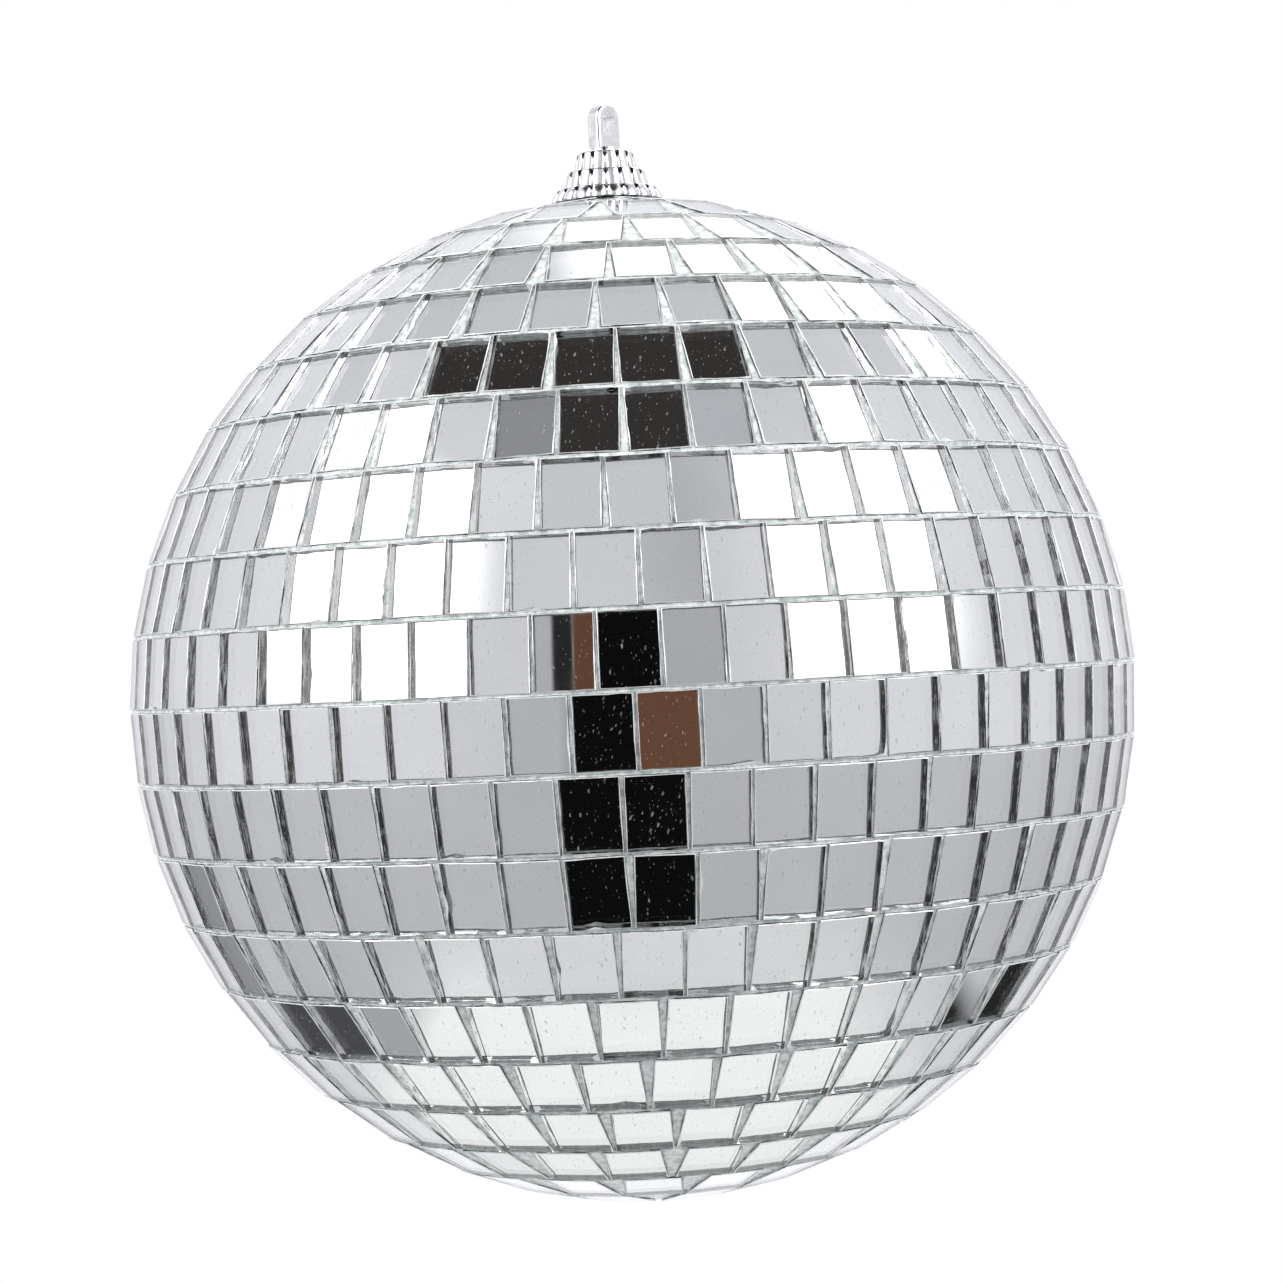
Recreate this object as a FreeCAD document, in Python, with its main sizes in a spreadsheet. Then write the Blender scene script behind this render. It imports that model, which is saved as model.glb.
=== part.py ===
import FreeCAD, Part
import math
import os
import random

import Sketcher

# A 6 inch mirror ball that hangs from a stepped crown cap and turns on its own eye.
# Origin: the centre of the ball. +Z is the spin axis, up through the cap. -Y is the front.
# Lengths are in millimetres and angles in degrees.

SIZES = (
    # the ball
    ("ball_radius", 76.0, "over the corners of the tile faces"),
    ("core_radius", 73.5, "foam core"),
    ("coat_inner_radius", 73.55, "adhesive coat, inside"),
    ("coat_outer_radius", 74.15, "adhesive coat, outside"),
    ("coat_hole_radius", 6.6, "hole in the coat at the top"),
    ("core_bore_radius", 4.2, "bore for the anchor shank"),
    ("core_bore_floor", 47.5, "height of the bore's floor"),
    # the tiles
    ("tile_width", 8.25, "along the row"),
    ("tile_height", 10.45, "across the row"),
    ("tile_thickness", 1.4, "glass with its silvering"),
    ("row_pitch", 8.3, "degrees of latitude per row"),
    ("middle_seam", 1.44, "latitude of the seam nearest the equator"),
    ("top_row_rise", 0.18, "degrees the top row is moved up, clear of the next row's corners"),
    ("seam_gap", 0.1, "least gap between neighbours, at their backs"),
    ("tilt_error", 0.45, "degrees a tile leans off the sphere, at most"),
    ("turn_error", 0.25, "degrees a tile is twisted in its row, at most"),
    ("shift_error", 0.03, "how far a tile sits above or below its row, at most"),
    ("strip_bond", 0.65, "how nearly a strip's tiles are parallel at the equator, from 0 to 1"),
    ("closing_gap", 0.5, "gap between the two tiles at the bottom"),
    # the cap
    ("cap_bottom", 75.7, "height of the cap's rim"),
    ("base_tier_height", 1.75, "lowest tier"),
    ("middle_tier_height", 2.8, "middle tier"),
    ("upper_tier_height", 3.05, "highest tier"),
    ("base_tier_radius", 7.5, "lowest tier, behind its flutes"),
    ("middle_tier_radius", 5.6, "middle tier, behind its flutes"),
    ("upper_tier_radius", 4.05, "highest tier, behind its flutes"),
    ("base_flute_centre", 7.2, "circle the lowest flutes stand on"),
    ("middle_flute_centre", 5.35, "circle the middle flutes stand on"),
    ("upper_flute_centre", 3.85, "circle the highest flutes stand on"),
    ("base_flute_foot", 1.4, "radius of a flute at its foot, lowest tier"),
    ("middle_flute_foot", 1.15, "the same, middle tier"),
    ("upper_flute_foot", 0.95, "the same, highest tier"),
    ("base_flute_head", 0.95, "radius of a flute at its head, lowest tier"),
    ("middle_flute_head", 0.85, "the same, middle tier"),
    ("upper_flute_head", 0.7, "the same, highest tier"),
    ("base_flutes", 20, "how many, lowest tier"),
    ("middle_flutes", 17, "how many, middle tier"),
    ("upper_flutes", 14, "how many, highest tier"),
    ("cap_plate", 1.2, "thickness of the top plate"),
    ("rim_cavity_radius", 6.3, "inside of the lowest tier"),
    ("rim_cavity_height", 0.9, "how far that reaches up from the rim"),
    ("socket_radius", 4.65, "inside of the middle tier, over the anchor's collar"),
    ("socket_height", 3.75, "how far that reaches up from the rim"),
    ("clip_room_radius", 3.1, "inside of the highest tier"),
    ("eye_hole_radius", 1.6, "hole that the eye's stem turns in"),
    # the anchor
    ("flange_radius", 6.4, "flange that sits on the foam"),
    ("flange_bottom", 73.6, "height of its underside"),
    ("flange_thickness", 1.2, "flange"),
    ("collar_radius", 4.6, "collar that the cap goes over"),
    ("collar_bore_radius", 3.4, "inside of the collar"),
    ("collar_height", 4.4, "collar above the flange"),
    ("shank_radius", 2.6, "shank between its barbs"),
    ("barb_radius", 4.0, "over the barbs"),
    ("barb_pitch", 4.0, "from barb to barb"),
    ("barb_taper", 3.0, "height of one barb"),
    ("first_barb", 70.0, "height of the highest barb"),
    ("anchor_tip", 48.5, "height of the anchor's point"),
    # the glue under the cap
    ("glue_inner_radius", 6.5, "glue ring, inside"),
    ("glue_outer_radius", 6.95, "glue ring, outside"),
    ("glue_bottom", 74.3, "glue ring, underside"),
    ("glue_top", 75.5, "glue ring, top"),
    # the eye and what keeps it in the cap
    ("stem_radius", 1.55, "round stem"),
    ("stem_bottom", 79.9, "height of the stem's end"),
    ("shoulder_radius", 2.1, "shoulder that rests on the cap"),
    ("shoulder_bottom", 83.4, "height of its underside"),
    ("loop_bottom", 83.9, "where the loop begins"),
    ("loop_radius", 2.3, "arch of the loop, and half its width"),
    ("loop_depth", 2.5, "through the loop"),
    ("loop_spring", 88.2, "height where the arch begins"),
    ("loop_round", 0.45, "rounding of the loop's edges"),
    ("opening_bottom", 86.2, "sill of the opening"),
    ("opening_spring", 88.1, "height where the opening's arch begins"),
    ("opening_radius", 1.25, "arch of the opening"),
    ("loop_turn", 44.0, "degrees the loop is turned from the front at rest"),
    ("washer_hole_radius", 1.65, "washer, inside"),
    ("washer_radius", 2.9, "washer, outside"),
    ("washer_bottom", 81.45, "washer, underside"),
    ("washer_thickness", 0.6, "washer"),
    ("clip_radius", 2.6, "retaining clip, outside"),
    ("clip_bottom", 80.55, "retaining clip, underside"),
    ("clip_thickness", 0.8, "retaining clip"),
    ("clip_slot_width", 0.5, "slots that let the clip spring over the stem"),
    ("clip_slot_reach", 2.15, "how far out from the axis a slot reaches"),
    ("clip_slots", 4, "how many"),
)

ROWS_ABOVE = 10  # rows of tiles above the middle seam
ROWS_BELOW = 10
# The longitude of one wide seam in each row, from the top row down, seen from the front. The
# rows were laid one after another by hand, so their seams don't line up.
ROW_STARTS = (
    0.0, -3.5, 22.0, 25.5, 7.7, 26.5, 24.0, -2.0, 1.3, 3.1,
    0.2, -1.6, -1.2, -3.2, 1.6, -0.7, -8.0, 3.5, 10.0, 0.0,
)
# How many tiles were pressed side by side at a time, in rows up to a latitude north or south.
# A strip's tiles are nearly parallel, so a wedge-shaped gap opens between strips.
STRIP_LENGTHS = ((25, (2, 3, 2, 1)), (62, (2, 2, 2, 1)), (90, (1,)))
BARBS = 5

doc = FreeCAD.newDocument("MirrorBall")
sheet = doc.addObject("Spreadsheet::Sheet", "Sizes")
for line, (alias, value, note) in enumerate(SIZES, start=1):
    sheet.set(f"A{line}", alias)
    sheet.set(f"B{line}", str(value))
    sheet.set(f"C{line}", note)
    sheet.setAlias(f"B{line}", alias)
doc.recompute()


def number(formula):
    """The value of a sum of size names, such as "cap_bottom + base_tier_height". It may be "0"."""
    total, sign = 0.0, 1
    for word in formula.split():
        if word in ("+", "-"):
            sign = 1 if word == "+" else -1
        elif word != "0":
            total += sign * float(sheet.get(word))
    return total


def bound(formula):
    """The same sum as an expression that follows the sheet."""
    return " ".join(word if word in "+-" else "Sizes." + word for word in formula.split())


def new_body(label):
    body = doc.addObject("PartDesign::Body", label)
    body.Label = label
    return body


def new_sketch(body, name, role):
    """A sketch on one of the body's own origin planes."""
    plane = next(f for f in body.Origin.OriginFeatures if f.Role == role)
    sketch = body.newObject("Sketcher::SketchObject", name)
    sketch.AttachmentSupport = [(plane, "")]
    sketch.MapMode = "FlatFace"
    return sketch


def fix_point(sketch, geometry, end, across, up):
    """Holds one end of an edge at (across, up). None leaves that coordinate free."""
    for kind, axis, formula in (("DistanceX", -2, across), ("DistanceY", -1, up)):
        if formula is None:
            continue
        if formula == "0":
            sketch.addConstraint(Sketcher.Constraint("PointOnObject", geometry, end, axis))
            continue
        at = sketch.addConstraint(
            Sketcher.Constraint(kind, -1, 1, geometry, end, number(formula))
        )
        sketch.setExpression(f"Constraints[{at}]", bound(formula))


def draw_outline(sketch, corners):
    """A closed outline of straight lines, with every corner held by the sheet."""
    places = [FreeCAD.Vector(number(x), number(y), 0) for x, y in corners]
    count = len(corners)
    for i in range(count):
        sketch.addGeometry(Part.LineSegment(places[i], places[(i + 1) % count]), False)
    for i in range(count):
        sketch.addConstraint(Sketcher.Constraint("Coincident", i, 2, (i + 1) % count, 1))
    for i, (x, y) in enumerate(corners):
        fix_point(sketch, i, 1, x, y)


def revolve(body, sketch, name, kind="PartDesign::Revolution"):
    feature = body.newObject(kind, name)
    feature.Profile = sketch
    feature.ReferenceAxis = (sketch, ["V_Axis"])
    feature.Angle = 360
    sketch.Visibility = False
    return feature


def turned_piece(label, corners):
    """A piece of revolution about the spin axis, from its outline as (radius, height) corners."""
    body = new_body(label)
    sketch = new_sketch(body, label + "_outline", "XZ_Plane")
    draw_outline(sketch, corners)
    revolve(body, sketch, label + "_turned")
    return body


def hold_arc(sketch, geometry, radius):
    """Centres an arc on the ball's centre and ties its radius to the sheet."""
    sketch.addConstraint(Sketcher.Constraint("Coincident", geometry, 3, -1, 1))
    at = sketch.addConstraint(Sketcher.Constraint("Radius", geometry, number(radius)))
    sketch.setExpression(f"Constraints[{at}]", bound(radius))


def arc_from_bottom(radius, edge_radius):
    """An arc about the origin from the bottom pole up to where it meets a hole of edge_radius."""
    circle = Part.Circle(FreeCAD.Vector(), FreeCAD.Vector(0, 0, 1), number(radius))
    return Part.ArcOfCircle(circle, -math.pi / 2, math.acos(number(edge_radius) / number(radius)))


def top_of_arc(radius, edge_radius):
    return math.sqrt(number(radius) ** 2 - number(edge_radius) ** 2)


def make_foam_core():
    """A solid foam ball with a bore from the top for the anchor."""
    body = new_body("foam_core")
    sketch = new_sketch(body, "foam_core_outline", "XZ_Plane")
    bore, floor = number("core_bore_radius"), number("core_bore_floor")
    mouth = FreeCAD.Vector(bore, top_of_arc("core_radius", "core_bore_radius"), 0)
    bottom = FreeCAD.Vector(0, -number("core_radius"), 0)
    sketch.addGeometry(arc_from_bottom("core_radius", "core_bore_radius"), False)
    for a, b in (
        (mouth, FreeCAD.Vector(bore, floor, 0)),
        (FreeCAD.Vector(bore, floor, 0), FreeCAD.Vector(0, floor, 0)),
        (FreeCAD.Vector(0, floor, 0), bottom),
    ):
        sketch.addGeometry(Part.LineSegment(a, b), False)
    for a, a_end, b, b_end in ((0, 2, 1, 1), (1, 2, 2, 1), (2, 2, 3, 1), (3, 2, 0, 1)):
        sketch.addConstraint(Sketcher.Constraint("Coincident", a, a_end, b, b_end))
    hold_arc(sketch, 0, "core_radius")
    fix_point(sketch, 1, 1, "core_bore_radius", None)
    fix_point(sketch, 1, 2, "core_bore_radius", "core_bore_floor")
    fix_point(sketch, 3, 1, "0", "core_bore_floor")
    fix_point(sketch, 3, 2, "0", None)
    revolve(body, sketch, "foam_core_turned")
    return body


def make_adhesive_coat():
    """The coat of glue the tiles are bedded in, open at the top round the anchor's flange."""
    body = new_body("adhesive_coat")
    sketch = new_sketch(body, "adhesive_coat_outline", "XZ_Plane")
    hole = number("coat_hole_radius")
    outer = FreeCAD.Vector(hole, top_of_arc("coat_outer_radius", "coat_hole_radius"), 0)
    inner = FreeCAD.Vector(hole, top_of_arc("coat_inner_radius", "coat_hole_radius"), 0)
    low_inner = FreeCAD.Vector(0, -number("coat_inner_radius"), 0)
    low_outer = FreeCAD.Vector(0, -number("coat_outer_radius"), 0)
    sketch.addGeometry(arc_from_bottom("coat_outer_radius", "coat_hole_radius"), False)
    sketch.addGeometry(Part.LineSegment(outer, inner), False)
    sketch.addGeometry(arc_from_bottom("coat_inner_radius", "coat_hole_radius"), False)
    sketch.addGeometry(Part.LineSegment(low_inner, low_outer), False)
    for a, a_end, b, b_end in ((0, 2, 1, 1), (1, 2, 2, 2), (2, 1, 3, 1), (3, 2, 0, 1)):
        sketch.addConstraint(Sketcher.Constraint("Coincident", a, a_end, b, b_end))
    hold_arc(sketch, 0, "coat_outer_radius")
    hold_arc(sketch, 2, "coat_inner_radius")
    fix_point(sketch, 1, 1, "coat_hole_radius", None)
    fix_point(sketch, 1, 2, "coat_hole_radius", None)
    fix_point(sketch, 3, 1, "0", None)
    fix_point(sketch, 3, 2, "0", None)
    revolve(body, sketch, "adhesive_coat_turned")
    return body


def make_anchor_plug():
    """A barbed shank in the foam, with a flange on it and a collar that the cap goes over."""
    top = "flange_bottom + flange_thickness"
    corners = [
        ("0", "anchor_tip"),
        ("shank_radius", "anchor_tip + shank_radius"),
    ]
    for k in reversed(range(BARBS)):
        foot = "first_barb" + " - barb_pitch" * k
        corners += [
            ("shank_radius", foot + " - barb_taper"),
            ("barb_radius", foot),
            ("shank_radius", foot),
        ]
    corners += [
        ("shank_radius", "flange_bottom"),
        ("flange_radius", "flange_bottom"),
        ("flange_radius", top),
        ("collar_radius", top),
        ("collar_radius", top + " + collar_height"),
        ("collar_bore_radius", top + " + collar_height"),
        ("collar_bore_radius", top),
        ("0", top),
    ]
    return turned_piece("anchor_plug", corners)


def make_ring(label, inner, outer, bottom, top):
    return turned_piece(label, [(inner, bottom), (outer, bottom), (outer, top), (inner, top)])


def add_flutes(body, tier, bottom):
    """One tier's ring of upright half-round flutes, each wider at its foot."""
    flute = body.newObject("PartDesign::AdditiveCone", f"{tier}_flute")
    flute.setExpression("Radius1", f"Sizes.{tier}_flute_foot")
    flute.setExpression("Radius2", f"Sizes.{tier}_flute_head")
    flute.setExpression("Height", f"Sizes.{tier}_tier_height")
    flute.Angle = 360
    plane = next(f for f in body.Origin.OriginFeatures if f.Role == "XY_Plane")
    flute.AttachmentSupport = [(plane, "")]
    flute.MapMode = "FlatFace"
    flute.setExpression("AttachmentOffset.Base.x", f"Sizes.{tier}_flute_centre")
    flute.setExpression("AttachmentOffset.Base.z", bound(bottom))
    doc.recompute()
    ring = body.newObject("PartDesign::PolarPattern", f"{tier}_flute_ring")
    ring.Originals = [flute]
    axis = next(f for f in body.Origin.OriginFeatures if f.Role == "Z_Axis")
    ring.Axis = (axis, [""])
    ring.Angle = 360
    ring.setExpression("Occurrences", f"Sizes.{tier}_flutes")
    body.Tip = ring
    doc.recompute()


def make_crown_cap():
    """The stepped cap: three fluted tiers, hollow from below, with a hole for the eye's stem."""
    body = new_body("crown_cap")
    step_one = "cap_bottom + base_tier_height"
    step_two = step_one + " + middle_tier_height"
    top = step_two + " + upper_tier_height"
    sketch = new_sketch(body, "crown_cap_outline", "XZ_Plane")
    draw_outline(
        sketch,
        [
            ("0", "cap_bottom"),
            ("base_tier_radius", "cap_bottom"),
            ("base_tier_radius", step_one),
            ("middle_tier_radius", step_one),
            ("middle_tier_radius", step_two),
            ("upper_tier_radius", step_two),
            ("upper_tier_radius", top),
            ("0", top),
        ],
    )
    revolve(body, sketch, "crown_cap_turned")
    doc.recompute()
    add_flutes(body, "base", "cap_bottom")
    add_flutes(body, "middle", step_one)
    add_flutes(body, "upper", step_two)
    solid_volume = body.Shape.Volume

    hollow = new_sketch(body, "crown_cap_hollow", "XZ_Plane")
    rim = "cap_bottom + rim_cavity_height"
    socket = "cap_bottom + socket_height"
    plate = top + " - cap_plate"
    draw_outline(
        hollow,
        [
            ("0", "cap_bottom"),
            ("rim_cavity_radius", "cap_bottom"),
            ("rim_cavity_radius", rim),
            ("socket_radius", rim),
            ("socket_radius", socket),
            ("clip_room_radius", socket),
            ("clip_room_radius", plate),
            ("eye_hole_radius", plate),
            ("eye_hole_radius", top),
            ("0", top),
        ],
    )
    revolve(body, hollow, "crown_cap_hollowed", "PartDesign::Groove")
    doc.recompute()
    if body.Shape.Volume > 0.8 * solid_volume:
        raise RuntimeError("the cap's hollow cut too little")
    return body


def arch_sketch(body, name, half_width, bottom, spring):
    """An upright outline with straight sides and a round arch: half_width is also the arch's radius."""
    sketch = new_sketch(body, name, "XZ_Plane")
    w, low, high = number(half_width), number(bottom), number(spring)
    circle = Part.Circle(FreeCAD.Vector(0, high, 0), FreeCAD.Vector(0, 0, 1), w)
    sketch.addGeometry(Part.ArcOfCircle(circle, 0, math.pi), False)
    corners = ((-w, high), (-w, low), (w, low), (w, high))
    for (ax, ay), (bx, by) in zip(corners, corners[1:]):
        line = Part.LineSegment(FreeCAD.Vector(ax, ay, 0), FreeCAD.Vector(bx, by, 0))
        sketch.addGeometry(line, False)
    for a, a_end, b, b_end in ((0, 2, 1, 1), (1, 2, 2, 1), (2, 2, 3, 1), (3, 2, 0, 1)):
        sketch.addConstraint(Sketcher.Constraint("Coincident", a, a_end, b, b_end))
    fix_point(sketch, 0, 3, "0", spring)
    at = sketch.addConstraint(Sketcher.Constraint("Radius", 0, w))
    sketch.setExpression(f"Constraints[{at}]", bound(half_width))
    fix_point(sketch, 0, 1, None, spring)
    fix_point(sketch, 0, 2, None, spring)
    sketch.addConstraint(Sketcher.Constraint("Vertical", 1))
    sketch.addConstraint(Sketcher.Constraint("Vertical", 3))
    fix_point(sketch, 2, 1, None, bottom)
    fix_point(sketch, 2, 2, None, bottom)
    return sketch


def make_hanging_eye():
    """The eye: an arched loop on a shoulder, and a round stem that turns in the cap."""
    body = new_body("hanging_eye")
    outline = new_sketch(body, "eye_stem_outline", "XZ_Plane")
    draw_outline(
        outline,
        [
            ("0", "stem_bottom"),
            ("stem_radius", "stem_bottom"),
            ("stem_radius", "shoulder_bottom"),
            ("shoulder_radius", "shoulder_bottom"),
            ("shoulder_radius", "loop_bottom"),
            ("0", "loop_bottom"),
        ],
    )
    revolve(body, outline, "eye_stem")
    doc.recompute()
    arch = arch_sketch(body, "loop_outline", "loop_radius", "loop_bottom", "loop_spring")
    loop = body.newObject("PartDesign::Pad", "loop")
    loop.Profile = arch
    loop.setExpression("Length", "Sizes.loop_depth")
    loop.Midplane = True
    arch.Visibility = False
    doc.recompute()
    solid_volume = body.Shape.Volume
    inner = arch_sketch(
        body, "opening_outline", "opening_radius", "opening_bottom", "opening_spring"
    )
    opening = body.newObject("PartDesign::Pocket", "opening")
    opening.Profile = inner
    opening.Type = "ThroughAll"
    opening.Midplane = True
    inner.Visibility = False
    doc.recompute()
    if body.Shape.Volume > solid_volume - number("loop_depth") * number("opening_radius"):
        raise RuntimeError("the eye's opening cut too little")
    arch_edges = [
        f"Edge{i}"
        for i, edge in enumerate(body.Shape.Edges, start=1)
        if abs(abs(edge.CenterOfMass.y) - number("loop_depth") / 2) < 0.01
        and edge.BoundBox.ZMax > number("loop_bottom") + 0.01
        and edge.BoundBox.XMax - edge.BoundBox.XMin > 2 * number("loop_radius") - 0.01
    ]
    rounding = body.newObject("PartDesign::Fillet", "loop_rounding")
    rounding.Base = (opening, arch_edges)
    rounding.setExpression("Radius", "Sizes.loop_round")
    body.Tip = rounding
    body.Placement = FreeCAD.Placement(
        FreeCAD.Vector(), FreeCAD.Rotation(FreeCAD.Vector(0, 0, 1), number("loop_turn"))
    )
    return body


def make_retaining_clip():
    """A push-on ring under the washer, with slots that let it spring over the stem."""
    body = make_ring(
        "retaining_clip",
        "stem_radius",
        "clip_radius",
        "clip_bottom",
        "clip_bottom + clip_thickness",
    )
    doc.recompute()
    ring_volume = body.Shape.Volume
    slot = body.newObject("PartDesign::SubtractiveBox", "clip_slot")
    slot.setExpression("Length", "Sizes.clip_slot_reach")
    slot.setExpression("Width", "Sizes.clip_slot_width")
    slot.setExpression("Height", "Sizes.clip_thickness")
    plane = next(f for f in body.Origin.OriginFeatures if f.Role == "XY_Plane")
    slot.AttachmentSupport = [(plane, "")]
    slot.MapMode = "FlatFace"
    slot.setExpression("AttachmentOffset.Base.y", "-Sizes.clip_slot_width / 2")
    slot.setExpression("AttachmentOffset.Base.z", "Sizes.clip_bottom")
    doc.recompute()
    slots = body.newObject("PartDesign::PolarPattern", "clip_slot_ring")
    slots.Originals = [slot]
    axis = next(f for f in body.Origin.OriginFeatures if f.Role == "Z_Axis")
    slots.Axis = (axis, [""])
    slots.Angle = 360
    slots.setExpression("Occurrences", "Sizes.clip_slots")
    body.Tip = slots
    doc.recompute()
    if body.Shape.Volume > 0.97 * ring_volume:
        raise RuntimeError("the clip's slots cut too little")
    return body


def face_distance():
    """From the ball's centre to a tile's face, so that the face's corners lie on the ball."""
    half_diagonal = math.hypot(number("tile_width"), number("tile_height")) / 2
    return math.sqrt(number("ball_radius") ** 2 - half_diagonal**2)


def tile_frame(latitude, longitude):
    """A turn that takes X along the row, Y up the ball and Z out of it, at a place on the ball."""
    up, along = math.radians(latitude), math.radians(longitude)
    x = FreeCAD.Vector(math.cos(along), math.sin(along), 0)
    z = FreeCAD.Vector(
        math.cos(up) * math.sin(along), -math.cos(up) * math.cos(along), math.sin(up)
    )
    return FreeCAD.Rotation(x, z.cross(x), z, "ZXY")


def lay_tile(name, latitude, longitude, chance, twist=0.0, drop=0.0):
    """One flat glass tile, bound to the sheet's sizes and laid by hand, so not quite true.
    twist turns it on its face, and drop moves it down the ball along its face."""
    tile = doc.addObject("Part::Box", name)
    tile.setExpression("Length", "Sizes.tile_width")
    tile.setExpression("Width", "Sizes.tile_height")
    tile.setExpression("Height", "Sizes.tile_thickness")
    tilt, turn = number("tilt_error"), number("turn_error")
    slope = math.degrees(drop / face_distance())
    frame = tile_frame(latitude - slope, longitude)
    centre = frame.multVec(FreeCAD.Vector(0, 0, face_distance()))
    place = frame
    for axis, angle in (
        (FreeCAD.Vector(1, 0, 0), chance.uniform(-tilt, tilt)),
        (FreeCAD.Vector(0, 1, 0), chance.uniform(-tilt, tilt)),
        (FreeCAD.Vector(0, 0, 1), twist + chance.uniform(-turn, turn)),
    ):
        place = place.multiply(FreeCAD.Rotation(axis, angle))
    lift = chance.uniform(-1, 1) * number("shift_error")
    corner = FreeCAD.Vector(
        -number("tile_width") / 2, lift - number("tile_height") / 2, -number("tile_thickness")
    )
    tile.Placement = FreeCAD.Placement(centre + place.multVec(corner), place)
    return tile


def strip_places(length, arc):
    """Where a strip's tiles go in a row laid out flat, as an arc about the point over the pole
    that its faces lean to. Each is (angle about that point, lean of the tile to its strip, drop
    off the arc). Nearer the poles the tiles follow the row more and their strip less."""
    bond = number("strip_bond") * (arc / math.hypot(arc, number("ball_radius"))) ** 2
    height = number("tile_height")
    step = number("tile_width") + number("seam_gap")
    step /= 1 - height / 2 * (1 - bond) / arc
    places = []
    for k in range(length):
        angle = math.atan((k - (length - 1) / 2) * step / arc)
        places.append((angle, bond * angle, bond * (arc / math.cos(angle) - arc)))
    return places


def strip_angle(length, arc):
    """The angle a strip takes up at its tight edge, the one nearer the pole."""
    angle, lean, drop = strip_places(length, arc)[-1]
    own = angle - lean
    centre = (arc + drop) * math.sin(angle), (arc + drop) * math.cos(angle)
    w, h = number("tile_width") / 2, number("tile_height") / 2
    across = centre[0] + w * math.cos(own) - h * math.sin(own) + number("seam_gap") / 2
    along = centre[1] - w * math.sin(own) - h * math.cos(own)
    return 2 * math.atan2(across, along)


def plan_row(latitude, start, chance):
    """Where a row's tiles go, as (longitude, twist, drop) of each. Strips touch at their tight
    edges, and what is left of the circle is shared out unevenly between them."""
    up = math.radians(abs(latitude))
    pole_side = math.copysign(1, latitude)
    arc = (face_distance() - number("tile_thickness")) / math.tan(up)
    circle = 2 * math.pi * math.sin(up)
    lengths = next(choice for limit, choice in STRIP_LENGTHS if abs(latitude) < limit)
    strips, used = [], 0.0
    while True:
        length = chance.choice(lengths)
        if used + strip_angle(length, arc) > circle:
            length = 1
        if used + strip_angle(length, arc) > circle:
            break
        strips.append(length)
        used += strip_angle(length, arc)
    shares = [0.3 + chance.random() for _ in strips]
    spare = (circle - used) / sum(shares)

    places, seam = [], math.radians(start) * math.sin(up)
    for length, share in zip(strips, shares):
        width = strip_angle(length, arc) + spare * share
        for angle, lean, drop in strip_places(length, arc):
            longitude = math.degrees((seam + width / 2 + angle) / math.sin(up))
            places.append((longitude, -pole_side * math.degrees(lean), pole_side * drop))
        seam += width
    return places


def make_row(index, latitude, start):
    """One ring of tiles round the ball, as a group of separate solids."""
    chance = random.Random(index)
    label = f"mirror_row_{index:02d}"
    tiles = [
        lay_tile(f"{label}_tile_{i:02d}", latitude, longitude, chance, twist, drop)
        for i, (longitude, twist, drop) in enumerate(plan_row(latitude, start, chance), start=1)
    ]
    return group(label, tiles)


def make_bottom_pair(index):
    """Two tiles side by side that close the ball at the bottom."""
    chance = random.Random(index)
    across = math.degrees(
        math.atan((number("tile_width") + number("closing_gap")) / 2 / face_distance())
    )
    tiles = [
        lay_tile(f"mirror_bottom_tile_{i}", -90 + across, longitude, chance)
        for i, longitude in ((1, 90), (2, 270))
    ]
    for tile in tiles:
        turn_quarter(tile)
    return group("mirror_bottom_pair", tiles)


def turn_quarter(tile):
    """Turns a tile a quarter turn on its own face, about the face's centre."""
    middle = tile.Placement.multVec(
        FreeCAD.Vector(number("tile_width") / 2, number("tile_height") / 2, 0)
    )
    normal = tile.Placement.Rotation.multVec(FreeCAD.Vector(0, 0, 1))
    quarter = FreeCAD.Placement(FreeCAD.Vector(), FreeCAD.Rotation(normal, 90), middle)
    tile.Placement = quarter.multiply(tile.Placement)


def group(label, tiles):
    compound = doc.addObject("Part::Compound", label)
    compound.Label = label
    compound.Links = tiles
    return compound


def make_rows():
    rows = []
    pitch = number("row_pitch")
    for i in range(ROWS_ABOVE + ROWS_BELOW):
        latitude = number("middle_seam") + (ROWS_ABOVE - 0.5 - i) * pitch
        if i == 0:
            latitude += number("top_row_rise")
        rows.append(make_row(i + 1, latitude, ROW_STARTS[i]))
    return rows


def check(pieces):
    """Stops before anything is written if a feature failed or a piece is not sound."""
    for item in doc.Objects:
        if "Invalid" in item.State or "Error" in item.State:
            raise RuntimeError(f"{item.Name} failed: {item.State}")
    for piece in pieces:
        if piece.Shape.isNull() or not piece.Shape.isValid() or not piece.Shape.Solids:
            raise RuntimeError(f"{piece.Label} has no sound shape")


def main():
    pieces = [
        make_foam_core(),
        make_adhesive_coat(),
        make_anchor_plug(),
        make_ring("cap_glue", "glue_inner_radius", "glue_outer_radius", "glue_bottom", "glue_top"),
        make_crown_cap(),
        make_ring(
            "bearing_washer",
            "washer_hole_radius",
            "washer_radius",
            "washer_bottom",
            "washer_bottom + washer_thickness",
        ),
        make_retaining_clip(),
        make_hanging_eye(),
        make_bottom_pair(ROWS_ABOVE + ROWS_BELOW + 1),
    ]
    pieces += make_rows()
    doc.recompute()
    check(pieces)
    os.makedirs("parts", exist_ok=True)
    for piece in pieces:
        piece.Shape.exportStep(f"parts/{piece.Label}.step")
        print(piece.Label, len(piece.Shape.Solids), "solids", round(piece.Shape.Volume, 1), "mm3")


main()
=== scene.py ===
"""The looks of the mirror ball: silvered glass tiles, glue, cap and eye, in a plain studio."""

import math
import random

import bpy
from mathutils import Matrix, Vector


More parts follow.
